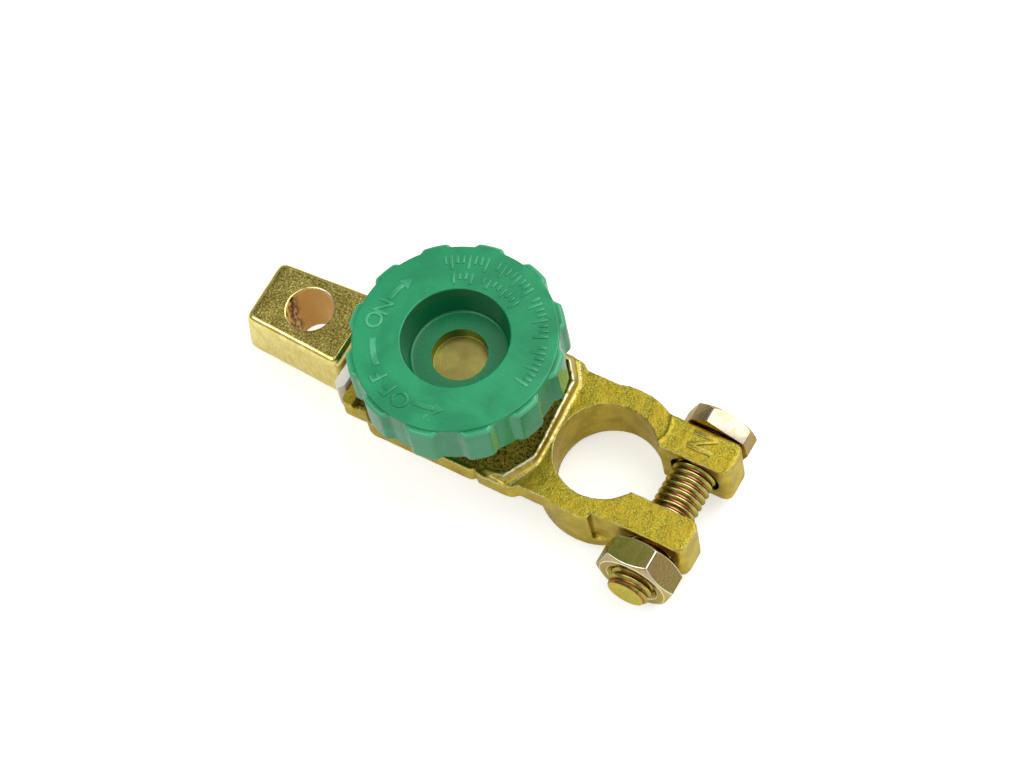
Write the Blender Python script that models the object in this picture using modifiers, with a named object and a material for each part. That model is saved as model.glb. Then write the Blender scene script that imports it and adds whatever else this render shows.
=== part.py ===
"""Battery terminal clamp with a cable lug and a screw-down isolating knob, in metres."""

import math

import bmesh
import bpy
from mathutils import Matrix, Vector

MM = 0.001

# Room left between pieces that touch or pass through each other.
GAP = 0.3 * MM

# Collar round the battery post. Heights are counted from its flat top, and X and Y from the post's axis.
POST_TOP_RADIUS = 8.65 * MM
POST_FOOT_RADIUS = 8.95 * MM
COLLAR_WALL = 4.05 * MM
COLLAR_HEIGHT = 10.7 * MM
COLLAR_DRAFT = 0.2 * MM

# The two arms and the slot between them.
ARM_REACH = 20.4 * MM
ARM_GAP = 9.2 * MM
ARM_WIDTH = 6.45 * MM
ARM_HEIGHT = 9.9 * MM
ARM_EDGE = 0.8 * MM
ARM_CORNER = 1.6 * MM
FLAT_START = 3.3 * MM
FLAT_DEPTH = 4.6 * MM

# Plate that joins the collar to the tray under the knob.
PLATE_THICKNESS = 4.0 * MM
NECK_WIDTH = 24.2 * MM
TRAY_WIDTH = 26.4 * MM
TRAY_START = 9.6 * MM
TRAY_LENGTH = 35.4 * MM
TRAY_FLOOR = 1.8 * MM
TRAY_RIM = 1.1 * MM
TRAY_CORNER = 2.4 * MM
LIP_HEIGHT = 1.2 * MM
LIP_LENGTH = 7.6 * MM
LIP_EDGE = 0.7 * MM
LIP_BULGE = 0.2 * MM
LIP_CORNER_X = 3.6 * MM
LIP_CORNER_Y = 2.4 * MM
SIDE_NOTCH = 0.9 * MM
HEEL_LENGTH = 5.0 * MM
HEEL_WIDTH = 23.4 * MM
HEEL_RIM = 2.7 * MM
POCKET_CHAMFER_X = 3.2 * MM
POCKET_CHAMFER_Y = 5.2 * MM

# Cable lug with the tongue that runs under the tray.
LUG_LENGTH = 19.0 * MM
LUG_WIDTH = 14.7 * MM
LUG_END_WIDTH = 12.4 * MM
LUG_CORNER = 1.3 * MM
LUG_DRAFT = 1.7 * MM
LUG_RISE = 3.6 * MM
LUG_HEIGHT = 12.2 * MM
LUG_EDGE = 1.2 * MM
LUG_HOLE_RADIUS = 4.0 * MM
LUG_HOLE_FROM_END = 9.55 * MM
TONGUE_THICKNESS = 2.9 * MM
TONGUE_WIDTH = 12.6 * MM
TONGUE_PAST_STUD = 10.0 * MM

# Nylon piece that keeps the lug off the clamp.
INSULATOR_WALL = 2.0 * MM
INSULATOR_PLATE = 1.1 * MM
INSULATOR_WIDTH = 20.0 * MM
INSULATOR_RISE = 0.8 * MM
INSULATOR_CORNER = 2.0 * MM
INSULATOR_PAST_STUD = 11.5 * MM
BUSH_WALL = 1.5 * MM

# Knob.
KNOB_FROM_POST = 26.1 * MM
KNOB_LIFT = 9.3 * MM
KNOB_HEIGHT = 9.45 * MM
KNOB_RIM_RADIUS = 17.2 * MM
KNOB_EDGE = 0.35 * MM
LOBE_COUNT = 12
LOBE_RADIUS = 18.25 * MM
LOBE_WIDTH = 6.2 * MM
LOBE_DROP = 0.4 * MM
LOBE_EDGE = 0.5 * MM
FIRST_LOBE_ANGLE = 10.8
RECESS_RADIUS = 9.2 * MM
RECESS_FOOT_RADIUS = 8.3 * MM
RECESS_DEPTH = 6.2 * MM

# Brass stud moulded into the knob.
CUP_BORE_RADIUS = 4.75 * MM
CUP_WALL = 0.4 * MM
CUP_DEPTH = 2.35 * MM
STUD_HEX = 13.0 * MM
STUD_HEX_HEIGHT = 1.6 * MM
HUB_RADIUS = 8.5 * MM
STUD_RADIUS = 3.9 * MM
STUD_PITCH = 1.25 * MM
STUD_TURNS = 1.5
STUD_TAIL = 0.6 * MM
GROOVE_DEPTH = 0.7 * MM
CLIP_THICKNESS = 0.8 * MM
CLIP_RADIUS = 6.0 * MM
CLIP_MOUTH = 4.4 * MM
WASHER_RADIUS = 10.0 * MM
WASHER_THICKNESS = 1.0 * MM

# Clamp bolt and nut, M8.
BOLT_FROM_POST = 13.8 * MM
BOLT_DEPTH = 5.2 * MM
BOLT_RADIUS = 3.9 * MM
BOLT_HOLE_RADIUS = 4.35 * MM
BOLT_LENGTH = 30.8 * MM
BOLT_HEX = 13.0 * MM
HEAD_HEIGHT = 3.6 * MM
HEAD_FACE_RADIUS = 5.5 * MM
HEAD_LEAN = 22.0
NUT_HEIGHT = 5.1 * MM
NUT_OFF_ARM = 1.05 * MM
NUT_LEAN = -6.8
HEX_CHAMFER = 0.2 * MM
BOLT_CHAMFER = 0.5 * MM

# Levels and places that follow from the sizes above.
COLLAR_RADIUS = POST_TOP_RADIUS + COLLAR_WALL
ARM_OUTSIDE = ARM_GAP / 2 + ARM_WIDTH
TRAY_END = TRAY_START + TRAY_LENGTH
FLOOR_TOP = -PLATE_THICKNESS + TRAY_FLOOR
PLATE_TOP = -PLATE_THICKNESS - GAP
TONGUE_TOP = PLATE_TOP - INSULATOR_PLATE - GAP
LUG_FOOT = LUG_RISE - LUG_HEIGHT
TONGUE_FOOT = TONGUE_TOP - TONGUE_THICKNESS
WALL_FACE = -TRAY_END - GAP
LUG_FACE = WALL_FACE - INSULATOR_WALL - GAP
LUG_END = LUG_FACE - LUG_LENGTH
HEX_CORNER = BOLT_HEX / 2 / math.cos(math.pi / 6)
STUD_HOLE_RADIUS = STUD_RADIUS + GAP
BUSH_RADIUS = STUD_HOLE_RADIUS + BUSH_WALL
WASHER_FOOT = FLOOR_TOP + GAP
HUB_FOOT = WASHER_FOOT + WASHER_THICKNESS + GAP
HUB_TOP = KNOB_LIFT - GAP
CUP_TOP = KNOB_LIFT + KNOB_HEIGHT - RECESS_DEPTH
CUP_RADIUS = CUP_BORE_RADIUS + CUP_WALL
CLIP_TOP = TONGUE_FOOT - STUD_TURNS * STUD_PITCH - GAP
STUD_FOOT = CLIP_TOP - CLIP_THICKNESS - GAP - STUD_TAIL
OVERRUN = 2 * MM

BRASS = ("yellow_brass", (0.62, 0.49, 0.09), 0.38, 1.0)
LUG_BRASS = ("lug_brass", (0.55, 0.40, 0.12), 0.42, 1.0)
GREEN = ("green_plastic", (0.03, 0.33, 0.15), 0.34, 0.0)
NYLON = ("white_nylon", (0.78, 0.74, 0.70), 0.5, 0.0)
TURNED = ("turned_brass", (0.58, 0.46, 0.14), 0.3, 1.0)
ZINC = ("yellow_zinc", (0.66, 0.60, 0.30), 0.28, 1.0)


def clear_scene():
    for obj in list(bpy.data.objects):
        bpy.data.objects.remove(obj, do_unlink=True)


def make_collection(name):
    found = bpy.data.collections.new(name)
    bpy.context.scene.collection.children.link(found)
    return found


def make_material(name, colour, roughness, metallic):
    found = bpy.data.materials.get(name) or bpy.data.materials.new(name)
    found.use_nodes = True
    shader = found.node_tree.nodes["Principled BSDF"]
    shader.inputs["Base Color"].default_value = (*colour, 1)
    shader.inputs["Roughness"].default_value = roughness
    shader.inputs["Metallic"].default_value = metallic
    return found


def keep_part(obj, finish):
    """Names the object's finish and puts it with the real pieces, under the part's empty."""
    obj.data.materials.clear()
    obj.data.materials.append(make_material(*finish))
    parts.objects.link(obj)
    obj.parent = datum
    return obj


def keep_cutter(obj):
    obj.hide_render = True
    obj.display_type = "WIRE"
    cutters.objects.link(obj)
    obj.parent = datum
    return obj


def object_from(name, shape):
    mesh = bpy.data.meshes.new(name)
    bmesh.ops.recalc_face_normals(shape, faces=shape.faces)
    shape.to_mesh(mesh)
    shape.free()
    return bpy.data.objects.new(name, mesh)


def block(name, low, high, upright_edge=0.0, segments=3):
    """A box between two corners, with its upright edges rounded where a radius is given."""
    low, high = Vector(low), Vector(high)
    shape = bmesh.new()
    bmesh.ops.create_cube(shape, size=1)
    bmesh.ops.scale(shape, vec=high - low, verts=shape.verts)
    bmesh.ops.translate(shape, vec=(low + high) / 2, verts=shape.verts)
    if upright_edge:
        upright = [e for e in shape.edges if abs(e.verts[0].co.z - e.verts[1].co.z) > MM / 10]
        bmesh.ops.bevel(shape, geom=upright, offset=upright_edge, segments=segments,
                        affect="EDGES", profile=0.5)
    return object_from(name, shape)


def rod(name, radius, low, high, sides=48, turn=0.0):
    """A cylinder or prism about Z between two heights, with its first corner turned by some degrees."""
    shape = bmesh.new()
    bmesh.ops.create_cone(shape, cap_ends=True, segments=sides, radius1=radius, radius2=radius,
                          depth=high - low)
    bmesh.ops.translate(shape, vec=(0, 0, (low + high) / 2), verts=shape.verts)
    obj = object_from(name, shape)
    obj.rotation_euler.z = math.radians(turn)
    return obj


def turned(name, profile, steps=64, closed=False):
    """A profile of radius and height, read down its outer side, screwed once round Z."""
    shape = bmesh.new()
    points = [shape.verts.new((radius, 0, height)) for radius, height in profile]
    for start, end in zip(points, points[1:] + points[:closed]):
        shape.edges.new((start, end))
    mesh = bpy.data.meshes.new(name)
    shape.to_mesh(mesh)
    shape.free()
    obj = bpy.data.objects.new(name, mesh)
    screw = obj.modifiers.new("turn", "SCREW")
    screw.steps = screw.render_steps = steps
    screw.use_merge_vertices = True
    screw.merge_threshold = 0.00001
    return obj


def flat_outline(name, points, low, high):
    """A closed outline as a filled 2D curve, given its thickness and made a mesh."""
    curve = bpy.data.curves.new(name, "CURVE")
    curve.dimensions = "2D"
    curve.fill_mode = "BOTH"
    curve.extrude = (high - low) / 2
    line = curve.splines.new("POLY")
    line.points.add(len(points) - 1)
    for place, (x, y) in zip(line.points, points):
        place.co = (x, y, 0, 1)
    line.use_cyclic_u = True
    guide = bpy.data.objects.new(name + "_guide", curve)
    bpy.context.scene.collection.objects.link(guide)
    graph = bpy.context.evaluated_depsgraph_get()
    mesh = bpy.data.meshes.new_from_object(guide.evaluated_get(graph))
    bpy.data.objects.remove(guide, do_unlink=True)
    shape = bmesh.new()
    shape.from_mesh(mesh)
    bmesh.ops.remove_doubles(shape, verts=shape.verts, dist=0.000001)
    bmesh.ops.translate(shape, vec=(0, 0, (low + high) / 2), verts=shape.verts)
    return object_from(name, shape)


def combine(obj, other, operation="DIFFERENCE"):
    """Joins or cuts one object with another through a live Boolean."""
    step = obj.modifiers.new(other.name, "BOOLEAN")
    step.operation = operation
    step.object = other
    step.solver = "EXACT"


def round_edges(obj, width, segments=2, angle=40):
    bevel = obj.modifiers.new("edges", "BEVEL")
    bevel.width = width
    bevel.segments = segments
    bevel.limit_method = "ANGLE"
    bevel.angle_limit = math.radians(angle)


def smooth(obj, angle=35):
    obj.data.shade_smooth()
    obj.data.set_sharp_from_angle(angle=math.radians(angle))


def move(obj, x=0.0, y=0.0, z=0.0):
    obj.location = (x, y, z)
    return obj


def pocket_outline():
    """Inside of the tray: straight sides, and its two corners next to the collar cut across."""
    half = TRAY_WIDTH / 2 - TRAY_RIM
    front = -TRAY_START - LIP_EDGE - TRAY_RIM / 2
    back = -TRAY_END + HEEL_RIM
    heel_half = HEEL_WIDTH / 2 - TRAY_RIM
    heel_front = -TRAY_END + HEEL_LENGTH + TRAY_RIM
    near = [(back, -heel_half), (heel_front, -heel_half), (heel_front + half - heel_half, -half),
            (front - POCKET_CHAMFER_X, -half), (front, POCKET_CHAMFER_Y - half)]
    return near + [(x, -y) for x, y in reversed(near)]


def lip_outline():
    """Outside of the raised lip round the tray's end next to the collar."""
    half = TRAY_WIDTH / 2 + LIP_BULGE
    front = -TRAY_START
    back = front - LIP_LENGTH
    near = [(back, -half), (front - LIP_CORNER_X, -half), (front, LIP_CORNER_Y - half)]
    return near + [(x, -y) for x, y in reversed(near)]


def side_notches():
    """Upright square bars that nick both sides of the tray where the lip starts."""
    shape = bmesh.new()
    for side in (-1, 1):
        made = bmesh.ops.create_cube(shape, size=1)["verts"]
        bmesh.ops.rotate(shape, cent=(0, 0, 0), matrix=Matrix.Rotation(math.radians(45), 3, "Z"), verts=made)
        bmesh.ops.scale(shape, vec=(SIDE_NOTCH, SIDE_NOTCH, PLATE_THICKNESS + 2 * OVERRUN), verts=made)
        bmesh.ops.translate(shape, vec=(-TRAY_START - LIP_LENGTH - SIDE_NOTCH, side * TRAY_WIDTH / 2,
                                        -PLATE_THICKNESS / 2), verts=made)
    return object_from("side_notches", shape)


def make_clamp_casting():
    """One casting: split collar, two arms, plate and tray."""
    body = block("clamp_casting", (-TRAY_END + HEEL_LENGTH, -TRAY_WIDTH / 2, -PLATE_THICKNESS),
                 (-TRAY_START, TRAY_WIDTH / 2, 0), TRAY_CORNER)
    heel = block("heel", (-TRAY_END, -HEEL_WIDTH / 2, -PLATE_THICKNESS),
                 (-TRAY_END + HEEL_LENGTH + TRAY_CORNER, HEEL_WIDTH / 2, 0), TRAY_CORNER / 2)
    neck = block("neck", (-TRAY_START - TRAY_CORNER, -NECK_WIDTH / 2, -PLATE_THICKNESS),
                 (0, NECK_WIDTH / 2, 0))
    collar = turned("collar", [(0, 0), (COLLAR_RADIUS, 0),
                               (COLLAR_RADIUS - COLLAR_DRAFT, -COLLAR_HEIGHT), (0, -COLLAR_HEIGHT)])
    arms = block("arms", (-COLLAR_RADIUS / 4, -ARM_OUTSIDE, -ARM_HEIGHT), (ARM_REACH, ARM_OUTSIDE, 0),
                 ARM_CORNER)
    round_edges(arms, ARM_EDGE)
    lip = flat_outline("lip", lip_outline(), -PLATE_THICKNESS, LIP_HEIGHT)
    round_edges(lip, LIP_EDGE, 1, 80)
    for piece in (heel, neck, collar, arms, lip):
        combine(body, keep_cutter(piece), "UNION")

    pocket = flat_outline("pocket", pocket_outline(), FLOOR_TOP, LIP_HEIGHT + OVERRUN)
    growth = (POST_FOOT_RADIUS - POST_TOP_RADIUS) / COLLAR_HEIGHT * OVERRUN
    bore = turned("post_bore", [
        (0, OVERRUN), (POST_TOP_RADIUS - growth, OVERRUN),
        (POST_FOOT_RADIUS + growth, -COLLAR_HEIGHT - OVERRUN), (0, -COLLAR_HEIGHT - OVERRUN)], 72)
    slot = block("slot", (0, -ARM_GAP / 2, -COLLAR_HEIGHT - OVERRUN),
                 (ARM_REACH + OVERRUN, ARM_GAP / 2, OVERRUN))
    bolt_hole = rod("bolt_hole", BOLT_HOLE_RADIUS, -ARM_OUTSIDE - OVERRUN, ARM_OUTSIDE + OVERRUN, 32)
    bolt_hole.rotation_euler.x = math.radians(90)
    move(bolt_hole, BOLT_FROM_POST, 0, -BOLT_DEPTH)
    stud_hole = rod("stud_hole", BUSH_RADIUS + GAP, -PLATE_THICKNESS - OVERRUN, FLOOR_TOP + OVERRUN)
    move(stud_hole, -KNOB_FROM_POST)
    flat = block("arm_flat", (FLAT_START, -COLLAR_RADIUS - OVERRUN, -FLAT_DEPTH),
                 (math.sqrt(COLLAR_RADIUS ** 2 - ARM_OUTSIDE ** 2) + GAP, -ARM_OUTSIDE, OVERRUN))
    for piece in (pocket, bore, slot, bolt_hole, stud_hole, flat, side_notches()):
        combine(body, keep_cutter(piece))
    smooth(body)
    return keep_part(body, BRASS)


def make_lug_casting():
    """Block with the cable hole, and the tongue that the stud screws into."""
    body = block("lug_casting", (LUG_END, -LUG_WIDTH / 2, LUG_FOOT), (LUG_FACE, LUG_WIDTH / 2, LUG_RISE),
                 LUG_CORNER)
    for vertex in body.data.vertices:
        along = (LUG_FACE - vertex.co.x) / LUG_LENGTH
        down = (LUG_RISE - vertex.co.z) / LUG_HEIGHT
        vertex.co.y *= 1 + along * (LUG_END_WIDTH / LUG_WIDTH - 1)
        vertex.co.x -= along * down * LUG_DRAFT
    round_edges(body, LUG_EDGE, 3)
    tongue = block("tongue", (LUG_FACE - LUG_EDGE - OVERRUN, -TONGUE_WIDTH / 2, TONGUE_FOOT),
                   (-KNOB_FROM_POST + TONGUE_PAST_STUD, TONGUE_WIDTH / 2, TONGUE_TOP), TONGUE_WIDTH / 5)
    combine(body, keep_cutter(tongue), "UNION")
    cable_hole = rod("cable_hole", LUG_HOLE_RADIUS, LUG_FOOT - OVERRUN, LUG_RISE + OVERRUN)
    combine(body, keep_cutter(move(cable_hole, LUG_END + LUG_HOLE_FROM_END)))
    thread_hole = rod("thread_hole", STUD_HOLE_RADIUS, TONGUE_FOOT - OVERRUN, TONGUE_TOP + OVERRUN)
    combine(body, keep_cutter(move(thread_hole, -KNOB_FROM_POST)))
    smooth(body)
    return keep_part(body, LUG_BRASS)


def make_insulator():
    """Nylon plate between tray and tongue, with its end wall and the bush round the stud."""
    foot = PLATE_TOP - INSULATOR_PLATE
    body = block("insulator", (WALL_FACE - INSULATOR_WALL, -INSULATOR_WIDTH / 2, foot),
                 (-KNOB_FROM_POST + INSULATOR_PAST_STUD, INSULATOR_WIDTH / 2, PLATE_TOP),
                 INSULATOR_CORNER, 1)
    wall = block("end_wall", (WALL_FACE - INSULATOR_WALL, -INSULATOR_WIDTH / 2, foot),
                 (WALL_FACE, INSULATOR_WIDTH / 2, INSULATOR_RISE), INSULATOR_WALL / 2, 1)
    bush = rod("bush", BUSH_RADIUS, foot, FLOOR_TOP - GAP / 2)
    hole = rod("bush_hole", STUD_HOLE_RADIUS, foot - OVERRUN, FLOOR_TOP + OVERRUN)
    combine(body, keep_cutter(wall), "UNION")
    combine(body, keep_cutter(move(bush, -KNOB_FROM_POST)), "UNION")
    combine(body, keep_cutter(move(hole, -KNOB_FROM_POST)))
    smooth(body)
    return keep_part(body, NYLON)


def lobe_blocks():
    """Twelve radial blocks, trimmed to the knob's outer circle."""
    shape = bmesh.new()
    for turn in range(LOBE_COUNT):
        angle = math.radians(FIRST_LOBE_ANGLE + turn * 360 / LOBE_COUNT)
        made = bmesh.ops.create_cube(shape, size=1)["verts"]
        root = KNOB_RIM_RADIUS - 3 * OVERRUN / 2
        length = LOBE_RADIUS + OVERRUN - root
        bmesh.ops.scale(shape, vec=(length, LOBE_WIDTH, KNOB_HEIGHT - LOBE_DROP), verts=made)
        bmesh.ops.translate(shape, vec=(root + length / 2, 0, (KNOB_HEIGHT - LOBE_DROP) / 2), verts=made)
        bmesh.ops.rotate(shape, cent=(0, 0, 0), matrix=Matrix.Rotation(angle, 3, "Z"), verts=made)
    lobes = object_from("lobes", shape)
    trim = turned("lobe_trim", [
        (0, KNOB_HEIGHT), (LOBE_RADIUS - LOBE_EDGE, KNOB_HEIGHT - LOBE_DROP + LOBE_EDGE / 9),
        (LOBE_RADIUS, KNOB_HEIGHT - LOBE_DROP - LOBE_EDGE), (LOBE_RADIUS, LOBE_EDGE),
        (LOBE_RADIUS - LOBE_EDGE, -LOBE_EDGE / 9), (0, -OVERRUN)], 96)
    combine(lobes, keep_cutter(move(trim, -KNOB_FROM_POST, 0, KNOB_LIFT)), "INTERSECT")
    return lobes


def make_knob():
    """Lobed plastic knob with the deep round recess, and the hexagon that keys it to the stud."""
    floor = KNOB_HEIGHT - RECESS_DEPTH
    cup_hole = CUP_RADIUS + GAP
    body = turned("knob", [
        (KNOB_RIM_RADIUS - KNOB_EDGE, KNOB_HEIGHT), (KNOB_RIM_RADIUS, KNOB_HEIGHT - KNOB_EDGE),
        (KNOB_RIM_RADIUS, KNOB_EDGE), (KNOB_RIM_RADIUS - KNOB_EDGE, 0), (cup_hole, 0), (cup_hole, floor),
        (RECESS_FOOT_RADIUS, floor), (RECESS_RADIUS, KNOB_HEIGHT - KNOB_EDGE),
        (RECESS_RADIUS + KNOB_EDGE, KNOB_HEIGHT)], 96, True)
    move(body, -KNOB_FROM_POST, 0, KNOB_LIFT)
    combine(body, keep_cutter(move(lobe_blocks(), -KNOB_FROM_POST, 0, KNOB_LIFT)), "UNION")
    key = rod("key_pocket", (STUD_HEX / 2 + GAP) / math.cos(math.pi / 6), -OVERRUN, STUD_HEX_HEIGHT + GAP, 6)
    combine(body, keep_cutter(move(key, -KNOB_FROM_POST, 0, KNOB_LIFT)))
    smooth(body)
    return keep_part(body, GREEN)


def make_knob_stud():
    """Brass stud: cup seen in the recess, hexagon, hub, thread and the groove for the clip."""
    groove_radius = STUD_RADIUS - GROOVE_DEPTH
    groove_foot = CLIP_TOP - CLIP_THICKNESS - GAP
    profile = [
        (0, CUP_TOP - CUP_DEPTH), (CUP_BORE_RADIUS, CUP_TOP - CUP_DEPTH), (CUP_BORE_RADIUS, CUP_TOP),
        (CUP_RADIUS, CUP_TOP), (CUP_RADIUS, HUB_TOP), (HUB_RADIUS, HUB_TOP), (HUB_RADIUS, HUB_FOOT),
        (STUD_RADIUS, HUB_FOOT), (STUD_RADIUS, CLIP_TOP + GAP), (groove_radius, CLIP_TOP + GAP),
        (groove_radius, groove_foot), (STUD_RADIUS, groove_foot), (STUD_RADIUS, STUD_FOOT), (0, STUD_FOOT)]
    body = turned("knob_stud", [(radius, height - KNOB_LIFT) for radius, height in profile], 48)
    move(body, -KNOB_FROM_POST, 0, KNOB_LIFT)
    hexagon = rod("stud_hexagon", STUD_HEX / 2 / math.cos(math.pi / 6), -GAP - OVERRUN, STUD_HEX_HEIGHT, 6)
    combine(body, keep_cutter(move(hexagon, -KNOB_FROM_POST, 0, KNOB_LIFT)), "UNION")
    bore = rod("cup_bore", CUP_BORE_RADIUS, CUP_TOP - CUP_DEPTH - KNOB_LIFT, CUP_TOP + OVERRUN - KNOB_LIFT)
    combine(body, keep_cutter(move(bore, -KNOB_FROM_POST, 0, KNOB_LIFT)))
    smooth(body)
    return keep_part(body, TURNED)


def make_contact_washer():
    """Loose washer that the hub presses on the tray's floor."""
    body = turned("contact_washer", [
        (WASHER_RADIUS, WASHER_THICKNESS), (WASHER_RADIUS, 0), (STUD_HOLE_RADIUS, 0),
        (STUD_HOLE_RADIUS, WASHER_THICKNESS)], 48, True)
    smooth(body)
    return keep_part(move(body, -KNOB_FROM_POST, 0, WASHER_FOOT), TURNED)


def make_stud_clip():
    """Open spring ring in the stud's groove, which stops the knob at its highest."""
    inner = STUD_RADIUS - GROOVE_DEPTH + GAP
    body = turned("stud_clip", [(CLIP_RADIUS, CLIP_THICKNESS), (CLIP_RADIUS, 0), (inner, 0),
                                (inner, CLIP_THICKNESS)], 48, True)
    move(body, -KNOB_FROM_POST, 0, CLIP_TOP - CLIP_THICKNESS)
    mouth = block("clip_mouth", (0, -CLIP_MOUTH / 2, -OVERRUN),
                  (CLIP_RADIUS + OVERRUN, CLIP_MOUTH / 2, CLIP_THICKNESS + OVERRUN))
    combine(body, keep_cutter(move(mouth, -KNOB_FROM_POST, 0, CLIP_TOP - CLIP_THICKNESS)))
    smooth(body)
    return keep_part(body, ZINC)


def hexagon_along_y(name, low, high, lean, outline):
    """Hexagonal prism about Y, its upper flat leaning some degrees to +X, trimmed to a turned outline."""
    body = rod(name, HEX_CORNER, low, high, 6)
    trim = turned(name + "_trim", outline, 48)
    combine(body, keep_cutter(trim), "INTERSECT")
    body.rotation_euler = trim.rotation_euler = (math.radians(-90), 0, 0)
    body.rotation_euler.rotate_axis("Z", math.radians(lean - 30))
    return body, trim


def domed_outline():
    """Turned outline of the bolt's head, which falls from its flat face to the full corners."""
    outline = [(0, HEAD_HEIGHT)]
    for share in (1, 0.85, 0.65, 0.4, 0.1):
        bulge = HEX_CORNER + GAP - HEAD_FACE_RADIUS
        outline.append((HEAD_FACE_RADIUS + bulge * (1 - share ** 2), HEAD_HEIGHT * share))
    return outline + [(HEX_CORNER + GAP, -OVERRUN), (0, -OVERRUN)]


def chamfered_outline():
    """Turned outline of the nut, with the usual 30 degree chamfer at both ends."""
    inner = BOLT_HEX / 2 - HEX_CHAMFER
    outer = HEX_CORNER + OVERRUN
    fall = (outer - inner) / math.sqrt(3)
    return [(0, 0), (inner, 0), (outer, -fall), (outer, fall - NUT_HEIGHT), (inner, -NUT_HEIGHT),
            (0, -NUT_HEIGHT)]


def make_clamp_bolt():
    """Hexagon-headed bolt through both arms, its head at +Y."""
    seat = ARM_OUTSIDE + GAP
    body, trim = hexagon_along_y("clamp_bolt", 0, HEAD_HEIGHT, HEAD_LEAN, domed_outline())
    shank = turned("shank", [
        (0, HEAD_HEIGHT / 2), (BOLT_RADIUS, HEAD_HEIGHT / 2), (BOLT_RADIUS, BOLT_CHAMFER - BOLT_LENGTH),
        (BOLT_RADIUS - BOLT_CHAMFER, -BOLT_LENGTH), (0, -BOLT_LENGTH)], 32)
    shank.rotation_euler.x = math.radians(-90)
    for piece in (body, trim, shank):
        move(piece, BOLT_FROM_POST, seat, -BOLT_DEPTH)
    combine(body, keep_cutter(shank), "UNION")
    smooth(body)
    return keep_part(body, ZINC)


def make_clamp_nut():
    """Nut on the bolt's end outside the near arm."""
    body, trim = hexagon_along_y("clamp_nut", -NUT_HEIGHT, 0, NUT_LEAN, chamfered_outline())
    hole = rod("nut_hole", BOLT_RADIUS + GAP, -NUT_HEIGHT - OVERRUN, OVERRUN, 32)
    hole.rotation_euler.x = math.radians(-90)
    for piece in (body, trim, hole):
        move(piece, BOLT_FROM_POST, -ARM_OUTSIDE - NUT_OFF_ARM, -BOLT_DEPTH)
    combine(body, keep_cutter(hole))
    smooth(body)
    return keep_part(body, ZINC)


def stand_on_floor(pieces):
    """Moves the empty that carries everything, so that the origin is under the middle of the part."""
    bpy.context.view_layer.update()
    graph = bpy.context.evaluated_depsgraph_get()
    corners = []
    for piece in pieces:
        shown = piece.evaluated_get(graph)
        corners += [shown.matrix_world @ vertex.co for vertex in shown.data.vertices]
    low = Vector(map(min, zip(*corners)))
    high = Vector(map(max, zip(*corners)))
    datum.location = (-(low.x + high.x) / 2, -(low.y + high.y) / 2, -low.z)


clear_scene()
parts = make_collection("battery_terminal_clamp")
cutters = make_collection("cutters")
datum = bpy.data.objects.new("post_axis", None)
parts.objects.link(datum)
stand_on_floor([make_clamp_casting(), make_lug_casting(), make_insulator(), make_knob(), make_knob_stud(),
                make_contact_washer(), make_stud_clip(), make_clamp_bolt(), make_clamp_nut()])
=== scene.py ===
import math

import bpy
import bmesh
from mathutils import Matrix, Vector, noise


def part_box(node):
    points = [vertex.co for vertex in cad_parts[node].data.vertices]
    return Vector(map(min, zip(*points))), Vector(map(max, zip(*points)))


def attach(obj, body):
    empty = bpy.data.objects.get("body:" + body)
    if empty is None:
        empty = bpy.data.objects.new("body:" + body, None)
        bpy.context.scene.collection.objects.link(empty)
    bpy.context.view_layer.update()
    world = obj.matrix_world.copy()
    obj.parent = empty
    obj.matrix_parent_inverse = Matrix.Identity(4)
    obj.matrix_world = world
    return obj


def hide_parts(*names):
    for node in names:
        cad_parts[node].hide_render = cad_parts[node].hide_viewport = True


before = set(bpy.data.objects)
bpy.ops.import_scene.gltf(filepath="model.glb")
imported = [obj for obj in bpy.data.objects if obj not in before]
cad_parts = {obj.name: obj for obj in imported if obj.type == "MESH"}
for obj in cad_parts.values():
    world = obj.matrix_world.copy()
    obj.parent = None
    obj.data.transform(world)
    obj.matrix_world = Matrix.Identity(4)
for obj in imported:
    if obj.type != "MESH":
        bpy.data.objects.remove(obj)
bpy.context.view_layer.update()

# every piece is shaped in millimetres about the battery post, whose hole has its top edge at z 0
postPlace = {"armReach": 20.4, "rimHeight": 1.2, "mm": 0.001}
castingLow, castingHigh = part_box("clamp_casting")
postTop = Vector((
    castingHigh.x - postPlace["armReach"] * postPlace["mm"],
    (castingLow.y + castingHigh.y) / 2,
    castingHigh.z - postPlace["rimHeight"] * postPlace["mm"],
))
postToRow = Matrix.Translation(postTop) @ Matrix.Scale(postPlace["mm"], 4)
rowToPost = postToRow.inverted()
knobCentre = Vector((-26.1, 0, 0))
boltCentre = Vector((13.8, 0, -5.2))


# helpers for meshes

def copyOfNode(node, mergeWithin=0.002):
    bm = bmesh.new()
    bm.from_mesh(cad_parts[node].data)
    bm.transform(rowToPost)
    merge(bm, mergeWithin)
    bmesh.ops.dissolve_limit(bm, angle_limit=math.radians(1), verts=bm.verts[:], edges=bm.edges[:])
    return bm


def merge(bm, within):
    bmesh.ops.remove_doubles(bm, verts=bm.verts[:], dist=within)


def shift(bm, way):
    bmesh.ops.translate(bm, verts=bm.verts[:], vec=way)


def facesOut(bm):
    bmesh.ops.recalc_face_normals(bm, faces=bm.faces[:])


def settle(bm, verts):
    # one light smoothing pass
    bmesh.ops.smooth_vert(bm, verts=verts, factor=0.5, use_axis_x=True, use_axis_y=True, use_axis_z=True)


def liftFaces(bm, faces, rise):
    # extrudes faces straight up
    raised = bmesh.ops.extrude_face_region(bm, geom=faces)
    up = [item for item in raised["geom"] if isinstance(item, bmesh.types.BMVert)]
    bmesh.ops.translate(bm, verts=up, vec=(0, 0, rise))


def newObject(name, data):
    made = bpy.data.objects.new(name, data)
    bpy.context.scene.collection.objects.link(made)
    return made


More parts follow.
